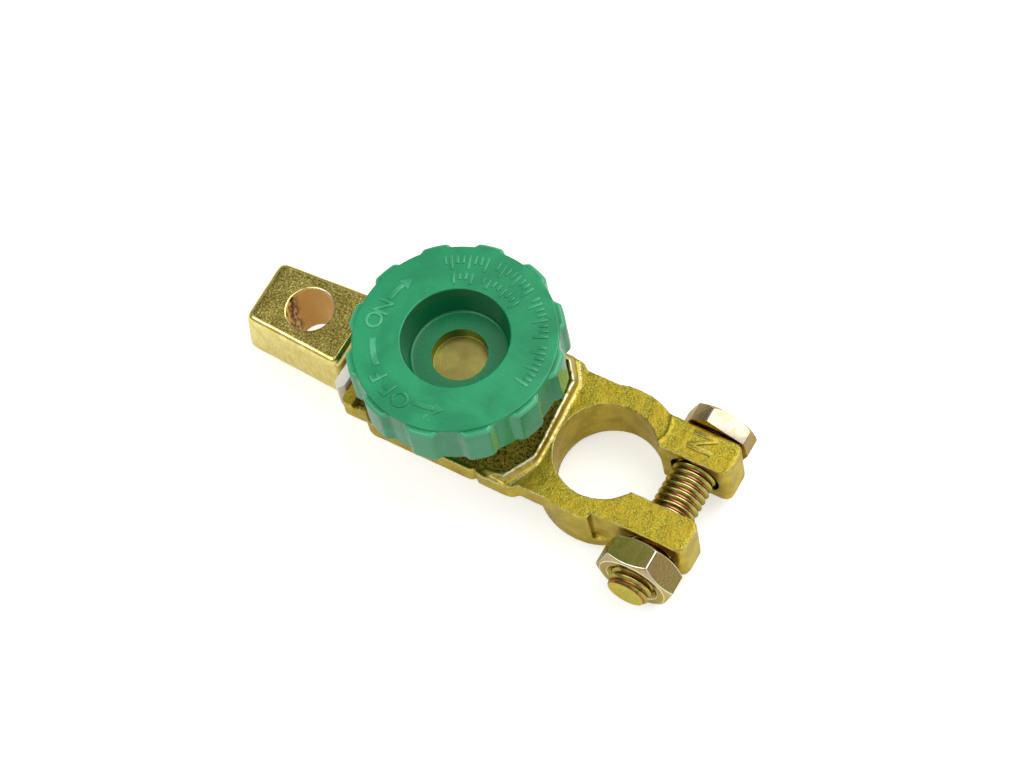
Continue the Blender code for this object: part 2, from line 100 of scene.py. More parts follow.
def shapeOf(thing):
    # the mesh of an object with its modifiers applied
    view = bpy.context.evaluated_depsgraph_get()
    return bpy.data.meshes.new_from_object(thing.evaluated_get(view))


def discard(thing):
    mesh = thing.data
    bpy.data.objects.remove(thing)
    bpy.data.meshes.remove(mesh)


def roundEdges(bm, width, sharperThan=28, segments=3, choose=None):
    # rounds the sharp edges, and marks their crowns for the material's worn edges and painted highlights
    sharp = [
        edge for edge in bm.edges
        if len(edge.link_faces) == 2
        and edge.calc_face_angle() > math.radians(sharperThan)
        and (choose is None or choose(edge))
    ]
    made = bmesh.ops.bevel(
        bm, geom=sharp, offset=width, offset_type="OFFSET", segments=segments,
        profile=0.5, affect="EDGES", clamp_overlap=True, material=-1,
    )
    wearAndSheen = bm.verts.layers.float.get("edgeWearAndSheen") or bm.verts.layers.float.new("edgeWearAndSheen")
    rounded = set(made["faces"])
    for vert in bm.verts:
        if vert.link_faces and all(face in rounded for face in vert.link_faces):
            vert[wearAndSheen] = 1


def turned(profile, centre, steps=96, axis=(0, 0, 1)):
    # spins a closed outline of (radius, height) about an axis through centre
    bm = bmesh.new()
    along = Vector(axis)
    outward = Vector((1, 0, 0))
    verts = [bm.verts.new(centre + outward * radius + along * height) for radius, height in profile]
    edges = [bm.edges.new((verts[i - 1], verts[i])) for i in range(len(verts))]
    bmesh.ops.spin(
        bm, geom=verts + edges, cent=centre, axis=along, angle=math.tau, steps=steps, use_merge=True,
    )
    merge(bm, 0.002)
    facesOut(bm)
    return bm


def turnedAlongY(profile, steps=96):
    # spins a closed (radius, y) outline about the bolt's axis
    return turned(profile, boltCentre, steps=steps, axis=(0, 1, 0))


def arcPoints(centre, radius, start, end, count):
    turns = [math.radians(start + (end - start) * i / count) for i in range(count + 1)]
    return [(centre[0] + radius * math.cos(turn), centre[1] + radius * math.sin(turn)) for turn in turns]


def prism(corners, bottom, top):
    # stands a flat outline up between two heights
    bm = bmesh.new()
    face = bm.faces.new([bm.verts.new((x, y, bottom)) for x, y in corners])
    liftFaces(bm, [face], top - bottom)
    facesOut(bm)
    return bm


def meshOf(bm, name):
    mesh = bpy.data.meshes.new(name)
    bm.to_mesh(mesh)
    bm.free()
    return mesh


def takeIn(bm, mesh):
    # adds a mesh to a bmesh, and drops the mesh
    bm.from_mesh(mesh)
    bpy.data.meshes.remove(mesh)


def joinInto(bm, other):
    takeIn(bm, meshOf(other, "spare"))


carveCare = {"mergeWithin": 0.004, "flatWithin": 0.5, "attempts": 4, "nudge": (0.0031, 0.0023, 0.0017)}


def carve(bm, cutter, operation="DIFFERENCE"):
    # one exact Boolean between two closed shapes; where the result isn't closed, it is made
    # again with the cutter moved by a few thousandths of a millimetre
    body = newObject("body", meshOf(bm, "body"))
    tool = newObject("tool", meshOf(cutter, "tool"))
    cut = body.modifiers.new("cut", "BOOLEAN")
    cut.operation = operation
    cut.solver = "EXACT"
    cut.object = tool
    flat = math.radians(carveCare["flatWithin"])
    made = bmesh.new()
    for attempt in range(carveCare["attempts"]):
        tool.location = Vector(carveCare["nudge"]) * attempt
        made.clear()
        takeIn(made, shapeOf(body))
        merge(made, carveCare["mergeWithin"])
        bmesh.ops.dissolve_limit(made, angle_limit=flat, verts=made.verts[:], edges=made.edges[:])
        if made.faces and all(len(edge.link_faces) == 2 for edge in made.edges):
            break
        print("a cut came out open, attempt", attempt + 1)
    discard(body)
    discard(tool)
    return made


ridgeHollowCare = {"ridgeFrom": 0.10, "hollowFrom": 0.08, "span": 0.14}


def castSoft(bm, size):
    # remeshes a closed shape finely, lets its corners settle as a casting's do, and
    # marks ridges for the material's worn edges and painted highlights, and hollows for its painted shade
    body = newObject("body", meshOf(bm, "body"))
    fine = body.modifiers.new("fine", "REMESH")
    fine.mode = "VOXEL"
    fine.voxel_size = size["grid"]
    made = bmesh.new()
    takeIn(made, shapeOf(body))
    discard(body)
    for _ in range(size["passes"]):
        settle(made, made.verts[:])
    made.normal_update()
    for vert in made.verts:
        place = vert.co / size["sagSize"]
        wave = noise.noise(place) + 0.5 * noise.noise(place * 2.3)
        vert.co -= vert.normal * size["sag"] * min(max(0.5 + 0.5 * wave, 0), 1)
    made.normal_update()
    wearAndSheen = made.verts.layers.float.new("edgeWearAndSheen")
    shadeInHollows = made.verts.layers.float.new("hollowShade")
    for vert in made.verts:
        bend = 0
        for edge in vert.link_edges:
            way = vert.co - edge.other_vert(vert).co
            bend += way.dot(vert.normal) / max(way.length, 0.01)
        bend /= max(len(vert.link_edges), 1)
        vert[wearAndSheen] = min(max((bend - ridgeHollowCare["ridgeFrom"]) / ridgeHollowCare["span"], 0), 1)
        vert[shadeInHollows] = min(max((-bend - ridgeHollowCare["hollowFrom"]) / ridgeHollowCare["span"], 0), 1)
    return made


def makePiece(bm, name, body, materials, nodes=(), sharperThan=40, weighted=True):
    bm.transform(postToRow)
    mesh = meshOf(bm, name)
    mesh.shade_smooth()
    mesh.set_sharp_from_angle(angle=math.radians(sharperThan))
    for material in materials:
        mesh.materials.append(material)
    piece = newObject(name, mesh)
    if weighted:
        normals = piece.modifiers.new("weightedNormal", "WEIGHTED_NORMAL")
        normals.keep_sharp = True
    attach(piece, body)
    if nodes:
        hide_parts(*nodes)


# helpers for materials

def addNode(tree, kind, inputs=None, **settings):
    made = tree.nodes.new("ShaderNode" + kind)
    for key, value in settings.items():
        setattr(made, key, value)
    for key, value in (inputs or {}).items():
        socket = made.inputs[key]
        if isinstance(value, bpy.types.NodeSocket):
            tree.links.new(value, socket)
        else:
            socket.default_value = value
    return made


def newFinish(name):
    finish = bpy.data.materials.new(name)
    finish.use_nodes = True
    tree = finish.node_tree
    shader = next(node for node in tree.nodes if node.type == "BSDF_PRINCIPLED")
    return finish, tree, shader


def inMillimetres(tree, centre=(0, 0, 0), turn=(0, 0, 0), stretch=(1, 1, 1)):
    # the piece's own coordinates in millimetres, counted from a point of the post's frame
    source = addNode(tree, "TexCoord")
    middle = postToRow @ Vector(centre)
    moved = addNode(tree, "VectorMath", {0: source.outputs["Object"], 1: middle}, operation="SUBTRACT")
    return addNode(tree, "Mapping", {
        "Vector": moved.outputs[0], "Rotation": turn,
        "Scale": [1000 * share for share in stretch],
    }).outputs["Vector"]


def noiseOf(tree, where, scale, detail=3, roughness=0.55, distortion=0.0):
    return addNode(tree, "TexNoise", {
        "Vector": where, "Scale": scale, "Detail": detail, "Roughness": roughness, "Distortion": distortion,
    }).outputs["Fac"]


def rampOf(tree, factor, stops, mode="LINEAR"):
    made = addNode(tree, "ValToRGB", {"Fac": factor})
    ramp = made.color_ramp
    ramp.interpolation = mode
    while len(ramp.elements) < len(stops):
        ramp.elements.new(0.5)
    for element, (place, colour) in zip(ramp.elements, stops):
        element.position = place
        element.color = (*colour, 1)
    return made.outputs["Color"]


def mathOf(tree, operation, first, second=0.5):
    return addNode(tree, "Math", {0: first, 1: second}, operation=operation).outputs[0]


def times(tree, first, second):
    return mathOf(tree, "MULTIPLY", first, second)


def plus(tree, first, second):
    return mathOf(tree, "ADD", first, second)


def between(tree, value, low, high, toLow=0.0, toHigh=1.0, kind="SMOOTHSTEP"):
    return addNode(tree, "MapRange", {
        "Value": value, "From Min": low, "From Max": high, "To Min": toLow, "To Max": toHigh,
    }, interpolation_type=kind).outputs["Result"]


def mixOf(tree, factor, first, second):
    made = addNode(tree, "Mix", data_type="RGBA")
    for index, value in ((0, factor), (6, first), (7, second)):
        if isinstance(value, bpy.types.NodeSocket):
            tree.links.new(value, made.inputs[index])
        elif index:
            made.inputs[index].default_value = (*value, 1)
        else:
            made.inputs[index].default_value = value
    return made.outputs[2]


def partsOf(tree, vector):
    return addNode(tree, "SeparateXYZ", {"Vector": vector}).outputs


def lengthOf(tree, first, second):
    # the distance that two lengths at right angles to each other make
    flat = addNode(tree, "CombineXYZ", {"X": first, "Y": second}).outputs[0]
    return addNode(tree, "VectorMath", {0: flat}, operation="LENGTH").outputs["Value"]


def overTo(tree, at, way):
    # how far a point lies towards one side, seen from above
    return plus(tree, times(tree, at["X"], way[0]), times(tree, at["Y"], way[1]))


def facing(tree):
    # the surface's own direction, in the piece's frame
    return partsOf(tree, addNode(tree, "TexCoord").outputs["Normal"])


def wearAndSheenOf(tree, layer="edgeWearAndSheen"):
    return addNode(tree, "Attribute", attribute_name=layer).outputs["Fac"]


def bumpOf(tree, shader, height, depth, strength=1.0):
    made = addNode(tree, "Bump", {
        "Height": height, "Distance": depth * postPlace["mm"], "Strength": strength,
    })
    tree.links.new(made.outputs["Normal"], shader.inputs["Normal"])


socketNames = {
    "colour": "Base Color", "roughness": "Roughness", "metallic": "Metallic", "edgeTint": "Specular Tint",
}


def connect(tree, shader, **sockets):
    for key, value in sockets.items():
        socket = shader.inputs[socketNames.get(key, key)]
        if isinstance(value, bpy.types.NodeSocket):
            tree.links.new(value, socket)
        elif isinstance(value, tuple) and len(value) == 3:
            socket.default_value = (*value, 1)
        else:
            socket.default_value = value


# side and sideDeep are paler as a painted reflection of the white floor, crease is painted shade, and worn is
# partly wear and partly painted highlight
castingLook = {
    "gold": (0.37, 0.300, 0.028), "olive": (0.18, 0.160, 0.018), "pale": (0.62, 0.51, 0.075),
    "amber": (0.48, 0.33, 0.026), "side": (0.64, 0.485, 0.075), "sideDeep": (0.46, 0.34, 0.045),
    "wornAndSheen": (1.0, 0.93, 0.60), "stain": (0.075, 0.072, 0.011), "creaseShade": (0.13, 0.10, 0.015),
    "edgeTint": (0.97, 0.94, 0.70), "grainPerMm": 3.2, "grainDepth": 0.075,
}


def castBrassFinish():
    finish, tree, shader = newFinish("castBrass")
    look = castingLook
    where = inMillimetres(tree)
    grain = noiseOf(tree, where, look["grainPerMm"], 4, 0.65)
    patches = noiseOf(tree, where, 0.30, 4, 0.62)
    # the tops are painted darker, a painted shade, and the sides paler, a painted reflection of the white
    # floor; the grain, speckle and stains on the tops are the metal's own
    top = between(tree, facing(tree)["Z"], 0.86, 0.97)
    goldTop = rampOf(tree, grain, [(0.34, look["olive"]), (0.50, look["gold"]), (0.70, look["pale"])])
    goldTop = mixOf(tree, between(tree, patches, 0.44, 0.62, 0, 0.6), goldTop, look["amber"])
    spots = between(tree, noiseOf(tree, where, 1.5, 6, 0.8), 0.53, 0.66)
    stained = between(tree, noiseOf(tree, where, 0.22, 3, 0.6), 0.42, 0.60, 0.18, 0.85)
    goldTop = mixOf(tree, times(tree, spots, stained), goldTop, look["stain"])
    goldSide = mixOf(tree, between(tree, patches, 0.35, 0.65), look["sideDeep"], look["side"])
    colour = mixOf(tree, top, goldSide, goldTop)
    # painted shade: the hollows are painted dark with the crease colour
    shadeInHollows = times(tree, wearAndSheenOf(tree, "hollowShade"), 0.75)
    colour = mixOf(tree, shadeInHollows, colour, look["creaseShade"])
    # the ridges are painted pale, partly wear and partly painted highlight
    broken = between(tree, noiseOf(tree, where, 1.3, 4), 0.36, 0.52)
    wornAndSheen = times(tree, wearAndSheenOf(tree), broken)
    colour = mixOf(tree, wornAndSheen, colour, look["wornAndSheen"])
    rough = plus(tree, between(tree, top, 0, 1, 0.22, 0.27), times(tree, grain, 0.14))
    connect(tree, shader, colour=colour, roughness=rough, metallic=0.97, edgeTint=look["edgeTint"])
    fine = times(tree, grain, between(tree, top, 0, 1, 0.25, 1.0))
    bumpOf(tree, shader, fine, look["grainDepth"])
    return finish


trayLook = {
    "gold": (0.90, 0.72, 0.10), "brown": (0.62, 0.33, 0.06), "black": (0.055, 0.048, 0.010),
    "olive": (0.46, 0.38, 0.035), "bright": (1.0, 0.88, 0.35), "grainPerMm": 2.3, "grainDepth": 0.7,
}


def trayFloorFinish():
    finish, tree, shader = newFinish("roughTrayFloor")
    look = trayLook
    where = inMillimetres(tree)
    grain = noiseOf(tree, where, look["grainPerMm"], 5, 0.78, 0.4)
    tint = noiseOf(tree, where, 0.7, 3)
    warm = mixOf(tree, between(tree, tint, 0.50, 0.66), look["olive"], look["brown"])
    lit = mixOf(tree, between(tree, grain, 0.44, 0.52), warm, look["gold"])
    lit = mixOf(tree, between(tree, grain, 0.57, 0.63), lit, look["bright"])
    colour = mixOf(tree, between(tree, grain, 0.41, 0.48), look["black"], lit)
    connect(tree, shader, colour=colour, roughness=0.28, metallic=0.9)
    bumpOf(tree, shader, grain, look["grainDepth"])
    return finish


# side and sideDark are painted pale as a painted reflection of the white floor; worn is partly wear and
# partly painted highlight
lugLook = {
    "gold": (0.25, 0.200, 0.041), "olive": (0.080, 0.066, 0.015), "bright": (0.70, 0.60, 0.19),
    "side": (1.0, 0.88, 0.36), "sideDark": (0.88, 0.70, 0.18), "wornAndSheen": (1.0, 0.97, 0.78),
    "edgeTint": (1.0, 0.97, 0.80), "stainFrom": (-0.906, -0.423),
    "silver": (0.90, 0.88, 0.84), "burrWidth": 0.62, "burrFrom": 1.6,
    "grainPerMm": 2.8, "grainDepth": 0.12, "holeAt": (-57.05, 0, 0), "holeRadius": 4.0,
    "wallColours": [(0.0, (1.0, 0.88, 0.40)), (0.5, (0.98, 0.74, 0.28)), (0.95, (0.80, 0.46, 0.15))],
    "wallAcross": (-0.86, 0.50), "stain": (0.10, 0.018, 0.012), "stainEdge": 2.4,
}


def lugBrassFinish():
    finish, tree, shader = newFinish("speckledLugBrass")
    look = lugLook
    where = inMillimetres(tree)
    grain = noiseOf(tree, where, look["grainPerMm"], 6, 0.74)
    top = between(tree, facing(tree)["Z"], 0.93, 0.985)
    patchy = times(tree, mathOf(tree, "SUBTRACT", noiseOf(tree, where, 0.45, 4, 0.6), 0.5), 0.22)
    stops = [(0.37, look["olive"]), (0.51, look["gold"]), (0.66, look["bright"])]
    speckle = rampOf(tree, plus(tree, grain, patchy), stops)
    streaks = noiseOf(tree, inMillimetres(tree, stretch=(1, 1, 0.5)), 1.0, 5, 0.65)
    # the sides are painted pale, a painted reflection of the white floor, and the top darker, a painted
    # shade; the speckle on the top is the metal's own
    plain = mixOf(tree, between(tree, streaks, 0.36, 0.64), look["sideDark"], look["side"])
    colour = mixOf(tree, top, plain, speckle)
    # the rounded edges are painted pale, partly wear and partly painted highlight
    broken = between(tree, noiseOf(tree, where, 1.6, 4), 0.34, 0.50, 0.15, 0.9)
    wornAndSheen = times(tree, wearAndSheenOf(tree), broken)
    colour = mixOf(tree, wornAndSheen, colour, look["wornAndSheen"])
    # chipped bright burr on one side of the hole's edge
    at = partsOf(tree, inMillimetres(tree, centre=look["holeAt"]))
    ragged = plus(tree, lengthOf(tree, at["X"], at["Y"]), times(tree, noiseOf(tree, where, 1.3, 4), 0.9))
    reach = look["holeRadius"] + look["burrWidth"]
    burr = between(tree, ragged, reach, reach + 0.18, 1, 0)
    side = plus(tree, at["X"], times(tree, at["Y"], 0.6))
    burr = times(tree, burr, between(tree, side, look["burrFrom"], look["burrFrom"] + 1))
    burr = times(tree, burr, between(tree, facing(tree)["Z"], 0.2, 0.5))
    colour = mixOf(tree, burr, colour, look["silver"])
    rough = between(tree, top, 0, 1, 0.17, 0.36)
    connect(tree, shader, colour=colour, roughness=rough, metallic=0.97, edgeTint=look["edgeTint"])
    fine = times(tree, grain, between(tree, top, 0, 1, 0.10, 1.0))
    bumpOf(tree, shader, fine, look["grainDepth"])
    return finish


def lugHoleFinish():
    finish, tree, shader = newFinish("stainedHoleWall")
    look = lugLook
    where = inMillimetres(tree, centre=look["holeAt"])
    at = partsOf(tree, where)
    across = overTo(tree, at, look["wallAcross"])
    across = plus(tree, across, times(tree, noiseOf(tree, where, 0.6, 5, 0.65), 2.5))
    base = rampOf(tree, between(tree, across, -3.0, 6.0, kind="LINEAR"), look["wallColours"])
    # dark red stain that has run down one side
    streak = noiseOf(tree, inMillimetres(tree, centre=look["holeAt"], stretch=(1, 1, 0.4)), 0.9, 5, 0.7)
    side = between(tree, overTo(tree, at, look["stainFrom"]), look["stainEdge"], look["stainEdge"] + 1.1)
    stained = times(tree, between(tree, streak, 0.44, 0.54), side)
    colour = mixOf(tree, stained, base, look["stain"])
    connect(tree, shader, colour=colour, roughness=0.36, metallic=0.25)
    bumpOf(tree, shader, noiseOf(tree, where, 2.2, 4), 0.05)
    return finish


# the recess colours are painted shade
knobLook = {
    "green": (0.013, 0.320, 0.126), "deep": (0.005, 0.240, 0.090), "rubbed": (0.13, 0.52, 0.30),
    "raised": (0.070, 0.45, 0.23), "recess": (0.002, 0.130, 0.045), "recessFloor": (0.003, 0.19, 0.065),
    "recessWithin": 9.0, "recessAbove": 11.8, "indexOfRefraction": 1.49,
}


def knobFinish(name="mouldedGreen", raised=False):
    finish, tree, shader = newFinish(name)
    look = knobLook
    where = inMillimetres(tree, centre=knobCentre)
    flow = noiseOf(tree, where, 0.12, 3, 0.5, 0.6)
    fine = noiseOf(tree, where, 1.8, 4, 0.6)
    plain = look["raised"] if raised else look["green"]
    colour = mixOf(tree, between(tree, flow, 0.35, 0.65), look["deep"], plain)
    scuffs = between(tree, noiseOf(tree, where, 2.6, 2, 0.5), 0.735, 0.775, 0, 0.6)
    colour = mixOf(tree, scuffs, colour, look["rubbed"])
    colour = mixOf(tree, times(tree, wearAndSheenOf(tree), 0.45), colour, look["rubbed"])
    # painted shade: the recess is painted darker, its wall most of all
    at = partsOf(tree, where)
    upward = facing(tree)["Z"]
    out, within, above = lengthOf(tree, at["X"], at["Y"]), look["recessWithin"], look["recessAbove"]
    inside = between(tree, out, within, within + 0.25, 1, 0)
    inside = times(tree, inside, between(tree, at["Z"], above, above + 0.4))
    recessShade = mixOf(tree, between(tree, upward, 0.3, 0.8), look["recess"], look["recessFloor"])
    colour = mixOf(tree, inside, colour, recessShade)
    gloss = between(tree, upward, 0.2, 0.8, 0.15, 0.24)
    rough = plus(tree, gloss, between(tree, fine, 0.3, 0.7, -0.03, 0.05))
    connect(tree, shader, colour=colour, roughness=rough, metallic=0.0, IOR=look["indexOfRefraction"])
    bumpOf(tree, shader, noiseOf(tree, where, 0.45, 2), 0.05, 0.6)
    return finish


nylonLook = {
    "milky": (0.93, 0.88, 0.76), "pale": (0.97, 0.94, 0.86), "grime": (0.42, 0.36, 0.25),
    "scatter": 0.15, "scatterDepth": 0.001,
}


def nylonFinish():
    finish, tree, shader = newFinish("milkyNylon")
    look = nylonLook
    where = inMillimetres(tree)
    cloud = noiseOf(tree, where, 0.4, 3)
    colour = mixOf(tree, between(tree, cloud, 0.35, 0.65), look["milky"], look["pale"])
    grime = between(tree, noiseOf(tree, where, 1.7, 5, 0.7), 0.60, 0.80, 0, 0.35)
    colour = mixOf(tree, grime, colour, look["grime"])
    connect(tree, shader, colour=colour, roughness=0.42)
    connect(tree, shader, **{"Subsurface Weight": look["scatter"], "Subsurface Scale": look["scatterDepth"]})
    bumpOf(tree, shader, noiseOf(tree, where, 2.5, 3), 0.02)
    return finish


zincLook = {
    "yellow": (0.58, 0.48, 0.07), "green": (0.40, 0.41, 0.08), "brown": (0.24, 0.12, 0.04),
    "threadRedBrown": (0.36, 0.16, 0.07), "pink": (0.52, 0.40, 0.25), "cream": (0.64, 0.55, 0.40),
    "tan": (0.46, 0.33, 0.13), "olive": (0.40, 0.37, 0.08), "moss": (0.30, 0.33, 0.06),
    "rose": (0.42, 0.33, 0.31), "ivory": (0.45, 0.40, 0.31), "straw": (0.42, 0.38, 0.17),
    "lime": (0.82, 0.72, 0.15), "wornAndSheen": (1.0, 0.96, 0.80), "edgeTint": (0.80, 0.72, 0.50),
    # each piece's film: plain, tinge and deep
    "films": {
        "thread": ("yellow", "green", "threadRedBrown"), "head": ("ivory", "rose", "straw"),
        "nut": ("olive", "moss", "tan"),
    },
}
boltSize = {
    "seat": 11.35, "end": -19.44, "radius": 3.9, "root": 3.40, "pitch": 1.25, "stepsPerTurn": 48,
    "acrossFlats": 13.0, "headHeight": 3.6, "headLean": 24, "trimmedWidth": 11.4,
    "headEdge": 0.18, "intoHead": 0.3, "endRadius": 3.25, "endSlope": 0.8,
    # the head's crown, as radius and rise above its seat
    "dome": [
        (7.42, -1), (7.42, 2.6), (7.2, 2.85), (6.8, 3.2), (6.5, 3.4), (6.2, 3.52), (5.8, 3.58), (0, 3.6),
    ],
    # one ridge of the thread, as a share of its height and its place along the bolt
    "ridge": [
        (0, 0), (0.06, 0.14), (0.92, 0.48), (1, 0.56), (1, 0.69), (0.92, 0.77), (0.06, 1.11), (0, 1.25),
    ],
}


def yellowZincFinish(name, centre, kind, dull=0.0):
    # the passivated film shifts between three tints, with a paler one on the worn edges
    finish, tree, shader = newFinish(name)
    look = zincLook
    plain, tinge, deep = (look[tint] for tint in look["films"][kind])
    where = inMillimetres(tree, centre=centre)
    swirl = noiseOf(tree, where, 0.20, 3, 0.5, 0.6)
    spots = noiseOf(tree, where, 1.5, 5, 0.7)
    way = facing(tree)
    if kind == "thread":
        at = partsOf(tree, where)
        # painted reflection: each flank is coloured by the way it faces, cream near the crests and red-brown
        # on flanks facing +Y
        flank = plus(tree, way["Y"], times(tree, swirl, 0.3))
        base = rampOf(tree, between(tree, flank, -0.55, 0.85, kind="LINEAR"), [
            (0.0, tinge), (0.30, plain), (0.50, look["cream"]),
            (0.68, plain), (0.85, deep), (1.0, look["brown"]),
        ])
        # painted shade: the thread's roots are painted in the deep tint
        out = lengthOf(tree, at["X"], at["Z"])
        root = between(tree, out, boltSize["root"] + 0.02, boltSize["root"] + 0.22, 1, 0)
        end = between(tree, way["Y"], -0.95, -0.85, 1, 0)
        base = mixOf(tree, root, base, deep)
        base = mixOf(tree, end, base, mixOf(tree, between(tree, spots, 0.3, 0.6), plain, look["lime"]))
    else:
        swirl = plus(tree, times(tree, swirl, 0.65), times(tree, spots, 0.35))
        base = rampOf(tree, swirl, [(0.40, tinge), (0.52, plain), (0.64, deep)])
        if kind == "nut":
            # the facet that looks along +X is browner
            base = mixOf(tree, between(tree, way["X"], 0.5, 0.9, 0, 0.85), base, look["tan"])
        ends = between(tree, mathOf(tree, "ABSOLUTE", way["Y"]), 0.25, 0.6)
        onEnds = rampOf(tree, swirl, [(0.40, look["pink"]), (0.55, look["yellow"]), (0.66, look["pink"])])
        base = mixOf(tree, ends, base, onEnds)
        if kind == "head":
            # the facets beside the bright flat are brown
            base = mixOf(tree, between(tree, way["Z"], 0.83, 0.90, 0.75, 0), base, look["tan"])
    colour = mixOf(tree, between(tree, spots, 0.58, 0.70, 0, 0.4 + dull), base, look["brown"])
    # fine scratches along and across the facets
    for stretch in ((6, 0.5, 6), (0.6, 6, 0.6)):
        along = inMillimetres(tree, centre=centre, turn=(0.3, 0.2, 0.4), stretch=stretch)
        lines = noiseOf(tree, along, 0.5, 2)
        colour = mixOf(tree, between(tree, lines, 0.70, 0.76, 0, 0.55), colour, look["cream"])
    colour = mixOf(tree, times(tree, wearAndSheenOf(tree), 0.95), colour, look["wornAndSheen"])
    rough = between(tree, spots, 0.3, 0.7, 0.14, 0.26)
    connect(tree, shader, colour=colour, roughness=rough, metallic=1.0, edgeTint=look["edgeTint"])
    bumpOf(tree, shader, spots, 0.02)
    return finish


turnedLook = {
    "dark": (0.30, 0.255, 0.065), "light": (0.38, 0.325, 0.095), "groove": (0.20, 0.17, 0.045),
    "wornAndSheen": (0.75, 0.66, 0.30), "wall": (0.10, 0.23, 0.09), "edgeTint": (0.6, 0.6, 0.3), "ringsPerMm": 1.25,
}


def turnedBrassFinish(name, centre):
    finish, tree, shader = newFinish(name)
    look = turnedLook
    where = inMillimetres(tree, centre=centre)
    rings = addNode(tree, "TexWave", {
        "Vector": where, "Scale": look["ringsPerMm"], "Distortion": 0.25, "Detail": 2.0, "Detail Scale": 1.5,
    }, wave_type="RINGS", rings_direction="Z").outputs["Fac"]
    cloud = noiseOf(tree, where, 0.5, 4)
    colour = mixOf(tree, between(tree, cloud, 0.30, 0.70), look["dark"], look["light"])
    colour = mixOf(tree, times(tree, rings, 0.40), colour, look["groove"])
    colour = mixOf(tree, times(tree, wearAndSheenOf(tree), 0.6), colour, look["wornAndSheen"])
    # painted reflection: the wall is painted with the knob's green
    wall = between(tree, facing(tree)["Z"], 0.25, 0.7, 0.8, 0)
    colour = mixOf(tree, wall, colour, look["wall"])
    connect(tree, shader, colour=colour, roughness=0.33, metallic=0.97, edgeTint=look["edgeTint"])
    bumpOf(tree, shader, rings, 0.010)
    return finish


steelLook = {"dark": (0.44, 0.41, 0.30), "light": (0.62, 0.58, 0.46)}


def springSteelFinish():
    finish, tree, shader = newFinish("springSteel")
    where = inMillimetres(tree)
    scratches = noiseOf(tree, inMillimetres(tree, stretch=(4, 1, 1)), 1.2, 4)
    colour = mixOf(tree, between(tree, scratches, 0.4, 0.6), steelLook["dark"], steelLook["light"])
    connect(tree, shader, colour=colour, roughness=0.35, metallic=1.0)
    bumpOf(tree, shader, noiseOf(tree, where, 3, 3), 0.01)
    return finish


castBrass = castBrassFinish()
trayFloor = trayFloorFinish()
lugBrass = lugBrassFinish()
lugHoleWall = lugHoleFinish()
mouldedGreen = knobFinish()
raisedGreen = knobFinish("mouldedGreenRaised", raised=True)
milkyNylon = nylonFinish()
boltZinc = yellowZincFinish("yellowZincThread", boltCentre, "thread")
headZinc = yellowZincFinish("yellowZincHead", boltCentre, "head")
nutZinc = yellowZincFinish("yellowZincNut", boltCentre + Vector((3, 1, 2)), "nut", dull=0.2)
studBrass = turnedBrassFinish("turnedBrass", knobCentre)
washerBrass = turnedBrassFinish("pressedBrass", knobCentre)
springSteel = springSteelFinish()
print("finishes made:", len(bpy.data.materials))


# the cast clamp: ring, two arms, neck and tray
castingSize = {
    "grid": 0.245, "passes": 2, "sag": 0.10, "sagSize": 2.6, "mergeWithin": 0.05,
    # the far arm in plan, which the near arm mirrors, and its heights
    "armBlock": [(8.1, 4.63), (20.37, 4.63), (20.37, 11.02), (6.6, 11.02)],
    "armFoot": -8.3, "armTop": -0.03, "armCorner": 1.7, "boltHole": 4.43,
    "nearFlat": ((3.3, -14, -8.2), (6.6, -11.05, 1)),
    # a bead on the far arm, beside the ring
    "bead": [(7.0, 5.4), (7.7, 7.2), (7.4, 9.2), (6.9, 10.7), (5.8, 11.6)],
    "beadRise": 0.15, "beadSpread": 0.26, "beadRoom": ((4, 4.9, -0.3), (9, 40, 9)),
    # the raised rim round the tray's end: the room cleared for it, then the inside edge of its
    # crest, the crest's outside edge and the foot of its slope
    "lipRoom": ((-17.4, -14, 0.02), (-8, 14, 3)),
    "lipInside": [
        (-16.9, -11.25), (-13.0, -11.25), (-10.25, -6.2), (-11.25, 8.6), (-13.6, 11.6), (-17.0, 11.6),
    ],
    "lipCrest": [(-16.9, -11.9), (-12.6, -11.9), (-9.6, -6.35), (-10.6, 8.8), (-13.3, 12.2), (-17.0, 12.2)],
    "lipFoot": [(-17.2, -13.15), (-11.6, -13.15), (-8.85, -7.4), (-9.5, 8.9), (-12.2, 13.1), (-17.2, 13.15)],
    "lipBottom": -0.6, "lipTop": 1.12, "lipEnd": 0.1,
    # what is painted bright, as worn edges and painted highlights: where, above which height or how near to
    # the foot, and how much
    "lipSheenRoom": ((-17, -40, -0.4), (-8, 40, 9)), "crestFrom": 0.90, "slopeFrom": 0.12, "footWithin": 0.13,
    "crestWearAndHighlight": 0.85, "slopeSheen": 0.16, "footWearAndHighlight": 0.5,
    # low and high corners of the slits in the tray's sides
    "slits": [
        ((-22.6, -13.5, -1.35), (-21.1, -12.8, -0.85)), ((-20.4, -13.5, -1.3), (-19.1, -12.8, -0.8)),
        ((-42.5, -12.6, -1.0), (-41.6, -8.0, 0.5)),
    ],
    "floorRoom": ((-60, -40, -20), (-10, 40, -1.7)),
}


def boxCutter(low, high):
    bm = bmesh.new()
    bmesh.ops.create_cube(bm, size=1)
    size = Vector(high) - Vector(low)
    bmesh.ops.scale(bm, vec=size, verts=bm.verts[:])
    shift(bm, (Vector(high) + Vector(low)) / 2)
    return bm


def isWithin(point, room):
    low, high = room
    return all(low[axis] <= point[axis] <= high[axis] for axis in range(3))


